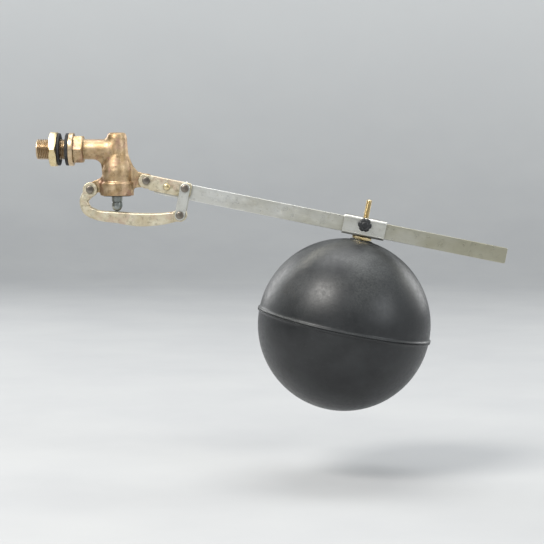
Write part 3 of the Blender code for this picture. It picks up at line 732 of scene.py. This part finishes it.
def lever_lug_outline(eye):
    """The lug on the barrel's side towards the wall, with the eye of the lower lever's pivot."""
    return arc(eye, 6.6, 105.0, 255.0, 24) + [(-14.0, -42.0), (-5.0, -42.0), (-5.0, -27.0), (-13.6, -28.0)]


def hexagon_distance(u, v, flats):
    """Distance to a hexagon in a plane, with two of its flats across the second axis."""
    slants = [np.abs(v * 0.5 + sign * u * math.sin(math.radians(60.0))) for sign in (1.0, -1.0)]
    return np.maximum(np.abs(v), np.maximum(*slants)) - flats / 2.0


def body_field(low, high, hexagon_start):
    """The casting: barrel, neck, hexagon, rib and two lugs, less the bores and eyes in them."""
    barrel = barrel_profile(high.z, low.z, high.y)
    arm_eye = beside_barrel("arm_swing")
    lever_eye = beside_barrel("lower_lever_swing")
    hexagon_end = HEX_END - BARREL.translation.x / MM
    neck = [(0.0, hexagon_start + 1.0), (NECK_R, hexagon_start + 1.0), (NECK_R, -4.0), (0.0, -4.0)]
    webs = [
        (arm_lug_outline(arm_eye), 2.5, 0.5),
        (lever_lug_outline(lever_eye), 3.0, 0.7),
        (NECK_RIB, 3.4, 1.6),
    ]

    def hexagon(x, y, z, about_neck):
        past_face = np.abs(x - (hexagon_start + hexagon_end) / 2.0) - (hexagon_end - hexagon_start) / 2.0
        chamfer = 0.5 * (about_neck - HEX_FLATS / 2.0) + 0.866 * past_face
        shape = both(hexagon_distance(y, z, HEX_FLATS), past_face, 0.4)
        return both(shape, chamfer, 0.3)

    def field(points):
        x, y, z = points.T
        across = np.hypot(x, y)
        about_neck = np.hypot(y, z)
        shape = joined(turned_distance(across, z, barrel), turned_distance(about_neck, x, neck), 4.5)
        shape -= 0.28 * np.exp(-((y / 0.7) ** 2))
        shape = joined(shape, hexagon(x, y, z, about_neck), 1.6)
        for outline, half, edge in webs:
            web = both(outline_distance(x, z, outline), np.abs(y) - half, edge)
            shape = joined(shape, web, 3.5)
        shape = both(shape, low.z - z, 0.4)
        shape = both(shape, -turned_distance(across, z, BARREL_BORE), 0.4)
        shape = both(shape, -both(about_neck - BORE_R, x), 0.3)
        for eye_x, eye_z in (arm_eye, lever_eye):
            shape = both(shape, PIN_HOLE_R - np.hypot(x - eye_x, z - eye_z), 0.3)
        return shape

    return field


def make_body():
    low, high = extent("valve_body", BARREL)
    hexagon_start = extent("wall_gasket", BARREL)[1].x + 4.6
    field = body_field(low, high, hexagon_start)
    margin = 2.3 * NET_STEP
    start = (hexagon_start - margin, low.y - margin, low.z - margin)
    end = (high.x + margin, high.y + margin, high.z + margin)
    casting = surface_net("body_casting", field, start, end, NET_STEP)
    add_piece(casting, "body", "base", "valve_body", BARREL)


def make_tail():
    """The threaded tail and the wall flange, both turned on the same casting."""
    tail_end = extent("valve_body")[0].x
    gasket = extent("wall_gasket")[1]
    flange_r = gasket.y + 0.4
    face = gasket.x + FIT
    back = face + 4.7
    root_r = THREAD_R - THREAD_DEPTH
    rows = [(tail_end + 0.7, BORE_R), (tail_end, BORE_R + 0.7)]
    rows += [(tail_end, root_r), (tail_end + 0.3, root_r)]
    rows += thread_rows(THREAD_R, THREAD_PITCH, THREAD_DEPTH, tail_end + 0.4, face - 1.2)[2:-2]
    rim = [
        (root_r, face - 1.0), (root_r, face), (flange_r, face),
        (flange_r, back), (NECK_R, back), (BORE_R + 0.1, back),
    ]
    rows += [(x, r) for r, x in rounded(rim, 0.7, False)]
    tail = ring_mesh("inlet_tail", rows)
    add_piece(tail, "tail", "base", "valve_body", ALONG_X, SHARP)


def make_wall_fittings():
    """The rubber rings on either side of the tank's wall, and the backnut outside it."""
    inner_r = THREAD_R + FIT
    for node, body in (("wall_gasket", "base"), ("backnut_washer", "backnut")):
        low, high = extent(node)
        ring = turned_mesh(node + "_ring", oblong(inner_r, low.x, high.y, high.x), 0.6)
        add_piece(ring, "rubber", body, node, ALONG_X)
    low, high = extent("tank_backnut")
    nut = ring_mesh("backnut_hexagon", nut_rows(2.0 * high.z, low.x, high.x, inner_r))
    add_piece(nut, "brass", "backnut", "tank_backnut", ALONG_X, SHARP)


def make_guide_cap():
    """The ported cap in the barrel's foot, as a rim below the foot and a spigot up inside it."""
    low, high = extent("guide_cap", BARREL)
    shoulder = extent("valve_body", BARREL)[0].z - FIT
    ports = [circle(arc((0.0, 0.0), 8.75, 60.0 * i + 30.0, 90.0, 1)[0], 2.2, 20) for i in range(6)]
    holes = ports + [circle((0.0, 0.0), STEM_R + FIT)]
    levels = {
        "guide_cap_rim": (high.x, low.z, shoulder),
        "guide_cap_spigot": (GUIDE_BORE_R - FIT, shoulder, high.z),
    }
    for name, (radius, foot, top) in levels.items():
        disc = plate_mesh(name, circle((0.0, 0.0), radius, 72), holes, foot, top, 0.25)
        add_plate(disc, "knob", "base", "guide_cap", BARREL @ TOWARDS_FRONT)


def make_piston():
    """The piston in the barrel: a head with a pocket for the seat disc, wings and a long stem."""
    low, high = extent("piston", BARREL)
    disc_foot = extent("seat_disc", BARREL)[0].z
    head_foot = extent("guide_cap", BARREL)[1].z + FIT
    pocket_r = extent("seat_disc", BARREL)[1].x + FIT
    head_r = pocket_r + 1.3
    groove = low.z + 9.0
    profile = [
        (0.0, disc_foot - FIT),
        (pocket_r, disc_foot - FIT), (pocket_r, high.z), (head_r, high.z),
        (head_r, head_foot), (STEM_R, head_foot), (STEM_R, groove + 1.2),
        (STEM_R - 0.5, groove + 0.8), (STEM_R - 0.5, groove + 0.2), (STEM_R, groove - 0.2),
        *arc((0.0, low.z + STEM_R), STEM_R, 0.0, -90.0, 10),
    ]
    stem = turned_mesh("piston_turned", profile, 0.3)
    add_piece(stem, "piston", "piston", "piston", BARREL, SHARP)
    wing_foot, wing_top = head_foot + 0.4, head_foot + 6.0
    outline = oblong(low.x, wing_foot, high.x, wing_top)
    for i in range(2):
        wing = plate_mesh(f"piston_wing_{i}", rounded(outline, 0.5), [], -1.0, 1.0, 0.25)
        place = BARREL @ Matrix.Rotation(math.radians(90.0 * i), 4, "Z")
        add_piece(wing, "piston", "piston", "piston", place, SHARP)


# -- pins --


def dome(radius, base, rise, steps=7):
    """A dome from its top to its edge, as (radius, height)."""
    angles = [math.radians(90.0 * (1.0 - i / steps)) for i in range(steps + 1)]
    return [(radius * math.cos(a), base + rise * math.sin(a)) for a in angles]


def make_pin(node, body, place):
    """A headed pin along Y, at a place's origin, and the split pin through its far end."""
    low, high = extent(node, place)
    head_foot = low.y + 2.0
    profile = dome(high.x, low.y + 0.9, -0.9) + [(high.x, head_foot), (PIN_R, head_foot)]
    profile += [(PIN_R, high.y - 0.8), (PIN_R - 0.8, high.y), (0.0, high.y)]
    pin = ring_mesh(node + "_turned", [(y, r) for r, y in profile], 48)
    add_piece(pin, "pin", body, node, place @ ALONG_Y, SHARP)
    near_end = Matrix.Translation((0, (high.y - COTTER_INSET) * MM, 0))
    make_split_pin(node.replace("_pin", "_cotter"), body, place @ near_end)


def make_split_pin(node, body, place):
    """One wire bent into an eye above the pin, both legs down through it and splayed below."""
    wire_r, eye_r, leg_x = 0.38, 1.55, 0.40
    eye_z = PIN_R + eye_r + 0.45
    legs = [(1.7, -5.0), (1.15, -4.3), (0.6, -3.4), (leg_x, -2.6)]
    open_angle = math.degrees(math.asin(leg_x / eye_r))
    eye = arc((0.0, eye_z), eye_r, -90.0 + open_angle, 270.0 - open_angle, 22)
    route = legs + [(leg_x, PIN_R - 0.3)] + eye + [(-leg_x, PIN_R - 0.3)]
    route += [(-x * 0.8, z) for x, z in reversed(legs)]
    wire = wire_mesh(node + "_wire", route, wire_r)
    add_piece(wire, "steel", body, node, place)


def wire_mesh(name, route, radius, sides=12):
    """A round wire along a route in the XZ plane, closed at both ends."""
    points = []
    for i, (x, z) in enumerate(route):
        before, after = route[max(i - 1, 0)], route[min(i + 1, len(route) - 1)]
        way = Vector((after[0] - before[0], after[1] - before[1])).normalized()
        for k in range(sides):
            angle = 2.0 * math.pi * k / sides
            side = radius * math.cos(angle)
            points.append((x - way.y * side, radius * math.sin(angle), z + way.x * side))
    rings = [list(range(i * sides, (i + 1) * sides)) for i in range(len(route))]
    return mesh_of(name, points, bridged(zip(rings, rings[1:])) + [rings[0], rings[-1]])


# -- arm, link and lower lever --


def make_arm():
    """The flat float bar and the two cheeks riveted to it, which make the fork at its pivot."""
    reach = (ARM.inverted() @ LINK_HEAD).x / MM
    rivet_hole = circle(RIVET_PLACE, 2.3, 28)
    link_hole = circle((reach, 0.0), PIN_HOLE_R, 32)
    low, high = extent("float_bar", ARM)
    outline = rounded(oblong(low.x, low.z, high.x, high.z), 1.8)
    bar = plate_mesh("float_bar_strip", outline, [rivet_hole, link_hole], low.y, high.y, 0.55)
    add_plate(bar, "bar", "arm", "float_bar", ARM)
    for side in ("front", "rear"):
        node = "arm_cheek_" + side
        low, high = extent(node, ARM)
        about_pivot = arc((0.0, 0.0), 8.0, 131.4, 290.0, 24)
        corners = [(high.x, high.z), *about_pivot, (6.0, low.z), (high.x, low.z)]
        holes = [rivet_hole, link_hole, circle((0.0, 0.0), PIN_HOLE_R, 32)]
        cheek = plate_mesh(node + "_plate", rounded(corners, 4.0), holes, low.y, high.y, 0.7)
        add_plate(cheek, "lever", "arm", node, ARM)
    make_rivet()


def make_rivet():
    place = ARM @ Matrix.Translation((RIVET_PLACE[0] * MM, 0.0, RIVET_PLACE[1] * MM))
    high = extent("bar_rivet", place)[1]
    head_y = extent("arm_cheek_rear", ARM)[1].y + FIT
    half = dome(high.x, head_y, high.y - head_y) + [(2.0, head_y)]
    profile = half + [(r, -y) for r, y in half[::-1]]
    rivet = ring_mesh("bar_rivet_domed", [(y, r) for r, y in profile], 48)
    add_piece(rivet, "brass", "arm", "bar_rivet", place @ ALONG_Y, SHARP)


def make_link():
    """Two straps that hang from the arm and lift the lower lever's end."""
    way = LINK_FOOT - LINK_HEAD
    place = Matrix.Translation(LINK_HEAD) @ Matrix.Rotation(math.atan2(-way.z, way.x), 4, "Y")
    length = Vector((way.x, way.z)).length / MM
    holes = [circle((0.0, 0.0), PIN_HOLE_R, 32), circle((length, 0.0), PIN_R + 0.8, 32)]
    for side in ("front", "rear"):
        node = "link_plate_" + side
        low, high = extent(node, place)
        strap = plate_mesh(node + "_strap", strap_outline(length, high.z), holes, low.y, high.y, 0.5)
        add_plate(strap, "steel", "link", node, place)


def lever_field():
    """The fish-bellied lever in its pivot's axes: beam, hook, two eyes, and a slot for the lug."""
    foot = LEVER.inverted() @ Vector((LINK_FOOT.x, 0.0, LINK_FOOT.z)) / MM
    barrel_x = (BARREL.translation.x - LEVER.translation.x) / MM
    stations = [
        (-1.5, -3.0, 5.0), (-6.6, -11.5, 3.8),
        (-3.6, -20.8, 4.3), (8.0, -26.6, 5.3),
        (barrel_x, -28.6, 6.0), (barrel_x + 22.0, -31.0, 6.9),
        (foot.x - 20.0, -30.2, 6.2), (foot.x, foot.z - 0.4, 5.0),
    ]
    beam = band_outline(stations, 40)
    hook = band_outline(stations[:3] + [(2.0, -24.2, 4.4)], 18)
    eyes = [(0.0, 0.0, 7.4), (foot.x, foot.z, 6.8)]

    def field(points):
        x, y, z = points.T
        level = np.abs(y)
        crown = 0.9 * np.clip(1.0 - level / 4.3, 0.0, 1.0)
        shape = both(outline_distance(x, z, beam) + 0.35 - 0.35 * crown, level - 4.3, 1.6)
        shape = joined(shape, both(outline_distance(x, z, hook), level - 5.0, 1.2), 3.0)
        shape -= 0.22 * np.exp(-((y / 0.6) ** 2))
        for eye_x, eye_z, radius in eyes:
            boss = both(np.hypot(x - eye_x, z - eye_z) - radius, level - 5.8, 0.7)
            shape = joined(shape, boss, 2.0)
        shape = both(shape, level - 5.8, 0.5)
        slot = both(np.hypot(x, z) - 8.2, level - 3.3)
        shape = both(shape, -slot, 0.4)
        for eye_x, eye_z, _ in eyes:
            shape = both(shape, PIN_HOLE_R - np.hypot(x - eye_x, z - eye_z), 0.3)
        return shape

    return field


def make_lower_lever():
    low, high = extent("lower_lever", LEVER)
    margin = Vector((2.3 * NET_STEP,) * 3)
    lever = surface_net("lever_casting", lever_field(), low - margin, high + margin, NET_STEP)
    add_piece(lever, "lever", "lower_lever", "lower_lever", LEVER)


# -- clamp and float --


def make_saddle():
    """A sheet folded round the bar, with holes for the float's rod and the knob's stud."""
    low, high = extent("clamp_saddle", KNOB)
    sheet = 1.5
    bend_r = 2.6
    web = low.y + sheet / 2.0
    middle_z = (low.z + high.z) / 2.0
    half_height = (high.z - low.z - sheet) / 2.0
    rod_y = (FLOAT.translation.y - KNOB.translation.y) / MM
    flap_end = high.y + 9.0
    fold = [(flap_end, half_height), (web, half_height), (web, -half_height), (flap_end, -half_height)]
    sheet_line = rounded(fold, bend_r, steps=6)
    plan = rounded(oblong(low.x, low.y - 9.0, high.x, high.y), 4.0, steps=6)

    def field(points):
        x, y, z = points.T
        shape = np.abs(outline_distance(y, z - middle_z, sheet_line)) - sheet / 2.0
        shape = both(shape, outline_distance(x, y, plan), 0.4)
        shape = both(shape, ROD_R + FIT - np.hypot(x, y - rod_y), 0.25)
        stud = both(np.hypot(x, z) - PIN_HOLE_R, y)
        return both(shape, -stud, 0.25)

    margin = Vector((1.2,) * 3)
    saddle = surface_net("saddle_fold", field, low - margin, high + margin, 0.8 * NET_STEP)
    add_piece(saddle, "steel", "clamp", "clamp_saddle", KNOB)


def make_knob():
    """A scalloped hand knob, its face slightly domed, with a shallow ring moulded in it."""
    low, high = extent("clamp_knob", KNOB)
    face, root, radius = -low.y, -high.y, high.x
    segments = 144
    angles = 2.0 * math.pi * np.arange(segments) / segments
    scallop = np.clip(np.cos(6.0 * angles + math.pi), 0.0, 1.0) ** 1.5
    grip = radius - 0.95 * scallop
    neck_r = 4.2
    rows = [(root, 2.8), (root, neck_r - 0.3), (root + 0.3, neck_r), (root + 1.7, neck_r)]
    for share in (0.15, 0.4, 0.7, 1.0):
        rows.append((root + 1.9 + 1.1 * share, neck_r + (grip - 0.7 - neck_r) * share))
    rows += [(root + 3.3, grip - 0.25), (root + 3.8, grip)]
    rows += [(z, grip) for z in np.linspace(root + 4.6, face - 2.6, 6)]
    for angle in (22.5, 45.0, 67.5, 90.0):
        turn = math.radians(angle)
        rows.append((face - 2.0 + 1.4 * math.sin(turn), grip - 1.6 * (1.0 - math.cos(turn))))
    moulded_ring = [(4.6, 0.38), (4.2, 0.36), (3.9, 0.62), (3.5, 0.62), (3.2, 0.30)]
    domed_middle = [(2.0, 0.1), (1.0, 0.02), (0.0, 0.0)]
    rows += [(face - drop, r) for r, drop in moulded_ring + domed_middle]
    rows += [(root + 6.0, 0.0), (root + 6.0, 2.8)]
    knob = ring_mesh("clamp_knob_grip", rows, segments)
    add_piece(knob, "knob", "knob", "clamp_knob", KNOB @ TOWARDS_FRONT, 50.0)


def make_rod():
    low, high = extent("float_rod", FLOAT)
    rows = [(low.z, 0.0), (low.z, ROD_R - 0.7)]
    rows += thread_rows(ROD_R, 1.0, 0.58, low.z + 0.3, high.z - 0.9, 48, 10)
    rows += [(high.z - 0.8, ROD_R - 0.2), (high.z - 0.1, ROD_R - 0.9)]
    rows += [(high.z, ROD_R - 1.2), (high.z, 0.0)]
    rod = ring_mesh("float_rod_thread", rows, 48)
    add_piece(rod, "brass", "float", "float_rod", FLOAT, 60.0)
    low, high = extent("float_locknut", FLOAT)
    hexagon = nut_rows(2.0 * high.x, low.z, high.z, ROD_R + FIT, chamfer=14.0)
    nut = ring_mesh("float_locknut_hexagon", hexagon)
    add_piece(nut, "brass", "float", "float_locknut", FLOAT, SHARP)


def rim_rows(radius, rim_r, split):
    """The moulded rim at a shell's open edge, as (radius, height above the joint)."""
    lip = [(rim_r - 0.5, split), (rim_r - 0.1, split + 0.3), (rim_r, 0.9)]
    return lip + [(rim_r - 0.2, 1.5), (radius + 0.3, 2.3)]


def make_float():
    """The ball in two shells. The rims meet at its widest, and the rod's insert is in its top."""
    low, high = extent("float_shell_upper", FLOAT)
    split = FIT / 2.0
    centre = low.z - split
    radius = high.z - centre
    wall = 3.0
    rim = rim_rows(radius, high.x, split)
    pocket_foot = extent("float_insert", FLOAT)[0].z - FIT - centre
    boss_r, pocket_r, cup_r, gate_r = 11.6, 6.8, 10.5, 3.2
    cup_foot = pocket_foot - 2.7
    boss_top = radius - 0.05
    flank = math.degrees(math.acos((boss_r + 0.6) / radius))
    upper = rim + arc((0.0, 0.0), radius, 2.2, flank, 60)
    upper += [(boss_r, boss_top - 0.35), (boss_r - 0.4, boss_top), (pocket_r + 0.5, boss_top)]
    upper += [(pocket_r, boss_top - 0.5), (pocket_r, pocket_foot), (0.0, pocket_foot)]
    upper += [(0.0, cup_foot), (cup_r, cup_foot), (cup_r, math.sqrt((radius - wall) ** 2 - cup_r**2))]
    upper += arc((0.0, 0.0), radius - wall, 82.0, 0.5, 36)
    gate = [(gate_r, -math.sqrt(radius**2 - gate_r**2)), (2.7, 0.6 - radius)]
    gate += [(1.2, 0.6 - radius), (0.0, 0.5 - radius)]
    lower = [(r, -z) for r, z in rim] + arc((0.0, 0.0), radius, -2.2, -87.6, 60) + gate
    lower += [(0.0, wall - radius)] + arc((0.0, 0.0), radius - wall, -88.0, -0.5, 36)
    for node, profile in (("float_shell_upper", upper), ("float_shell_lower", lower)):
        shell = ring_mesh(node + "_moulding", [(centre + z, r) for r, z in profile], 144)
        shell.transform(FLOAT.to_3x3().to_4x4())
        place = Matrix.Translation(FLOAT.translation)
        add_piece(shell, "float", "float", node, place, SHARP)


def dress_inner_pieces():
    """The solids inside the valve and float keep their CAD shape, in their own materials."""
    looks = {
        "seat_nozzle": "brass",
        "seat_disc": "rubber",
        "disc_screw": "brass",
        "float_insert": "brass",
        "clamp_stud": "brass",
    }
    for node, look in looks.items():
        mesh = frame["nodes"][node].data
        mesh.materials.clear()
        mesh.materials.append(LOOKS[look])
        mesh.shade_smooth()
        mesh.set_sharp_from_angle(angle=math.radians(35.0))


# -- surroundings --


def make_floor():
    """A pale round studio floor that curves up into a wall, painted darker on the floor and paler up the
    wall to even out the lamps' light.
    """
    floor_z, floor_r, bend_r, wall_top = -0.34, 2.4, 1.6, 1.4
    bend = arc((floor_r, floor_z + bend_r), bend_r, -90.0, 0.0, 24)
    profile = [(0.0, floor_z), (0.8, floor_z), (1.6, floor_z), *bend, (floor_r + bend_r, wall_top)]
    mesh = ring_mesh("studio_floor", [(z, r) for r, z in profile])
    mesh.shade_smooth()
    look = Look("studio_paint", 0.0, 0.2)
    tone = look.band(look.noise(180.0, 3.0), 0.3, 0.7)
    ground = look.mix(tone, (0.44, 0.445, 0.45), (0.47, 0.475, 0.475))
    height = look.add("ShaderNodeSeparateXYZ", {"Vector": look.place}).outputs["Z"]
    # Painted light and shade: darker on the floor, which the lamps light strongly, and paler up the wall,
    # which they light less.
    colour = look.mix(look.band(height, floor_z, floor_z + 0.6 * bend_r), ground, (0.86, 0.865, 0.86))
    rough = look.band(look.noise(40.0, 3.0), 0.3, 0.7, 0.85, 0.95)
    mesh.materials.append(look.finish(colour, rough, look.bump(look.noise(5.0, 2.0), 0.02)))
    floor = bpy.data.objects.new("studio_floor", mesh)
    bpy.context.scene.collection.objects.link(floor)
    floor.location = (CENTRE.x, CENTRE.y, 0.0)


def face_middle(obj, offset):
    """Puts a light, flag or camera at an offset from the valve's middle, facing it."""
    bpy.context.scene.collection.objects.link(obj)
    obj.location = CENTRE + Vector(offset)
    obj.rotation_euler = (-Vector(offset)).to_track_quat("-Z", "Y").to_euler()


def soft_light(name, offset, width, height, power, colour=(1, 1, 1)):
    """A rectangular soft light that the camera doesn't see."""
    data = bpy.data.lights.new(name, "AREA")
    data.shape = "RECTANGLE"
    data.size, data.size_y = width, height
    data.energy = power
    data.color = colour
    light = bpy.data.objects.new(name, data)
    light.visible_camera = False
    face_middle(light, offset)


def dark_flag(name, offset, width, height):
    """A black panel that only mirrors see, which gives the metal dark edges to reflect."""
    x, y = width / 2.0, height / 2.0
    mesh = mesh_of(name, [(-x, -y, 0.0), (x, -y, 0.0), (x, y, 0.0), (-x, y, 0.0)], [(0, 1, 2, 3)])
    look = Look(name, 0.0)
    look.shader.inputs["Base Color"].default_value = (0.01, 0.01, 0.012, 1.0)
    mesh.materials.append(look.material)
    flag = bpy.data.objects.new(name, mesh)
    face_middle(flag, offset)
    flag.visible_camera = False
    flag.visible_diffuse = False
    flag.visible_shadow = False


def make_lights():
    soft_light("key", (-0.9, -1.2, 1.5), 0.8, 0.8, 40.0, (1.0, 0.97, 0.93))
    soft_light("fill", (1.8, -1.2, 0.8), 0.9, 0.9, 10.0, (0.93, 0.97, 1.0))
    soft_light("top", (0.1, 0.4, 1.9), 1.5, 0.8, 18.0)
    soft_light("back_left", (-1.4, 1.5, 0.8), 0.5, 1.2, 13.0)
    soft_light("back_right", (1.5, 1.5, 0.7), 0.5, 1.2, 10.0)
    dark_flag("flag_left", (-1.7, -0.5, 0.1), 1.1, 1.2)
    dark_flag("flag_front", (0.7, -2.3, 0.5), 1.6, 0.7)
    dark_flag("flag_rear", (0.3, 2.3, 0.5), 1.6, 0.7)
    world = bpy.data.worlds.new("studio_air")
    bpy.context.scene.world = world
    world.use_nodes = True
    background = world.node_tree.nodes["Background"]
    background.inputs["Color"].default_value = (0.88, 0.92, 0.95, 1.0)
    background.inputs["Strength"].default_value = 0.72


def make_camera():
    """A long lens at the height of the float bar, looking slightly down."""
    data = bpy.data.cameras.new("camera")
    data.sensor_width = 36.0
    data.lens = 122.0
    camera = bpy.data.objects.new("camera", data)
    azimuth, elevation, distance = math.radians(2.0), math.radians(4.5), 1.9
    level = math.cos(elevation)
    back = Vector((math.sin(azimuth) * level, -math.cos(azimuth) * level, math.sin(elevation)))
    face_middle(camera, back * distance)
    bpy.context.scene.camera = camera


CENTRE = (CAD_BOX[0] + CAD_BOX[1]) / 2.0
bpy.context.scene.view_settings.view_transform = "Standard"

make_camera()
make_lights()
make_floor()
make_body()
make_tail()
make_wall_fittings()
make_guide_cap()
make_piston()
make_pin("arm_pivot_pin", "base", Matrix.Translation(joint_point("arm_swing")))
make_pin("lever_pivot_pin", "base", LEVER)
make_pin("link_upper_pin", "arm", ARM @ Matrix.Translation(ARM.inverted() @ LINK_HEAD))
make_pin("link_lower_pin", "lower_lever", Matrix.Translation((LINK_FOOT.x, 0.0, LINK_FOOT.z)))
make_arm()
make_link()
make_lower_lever()
make_saddle()
make_knob()
make_rod()
make_float()
dress_inner_pieces()
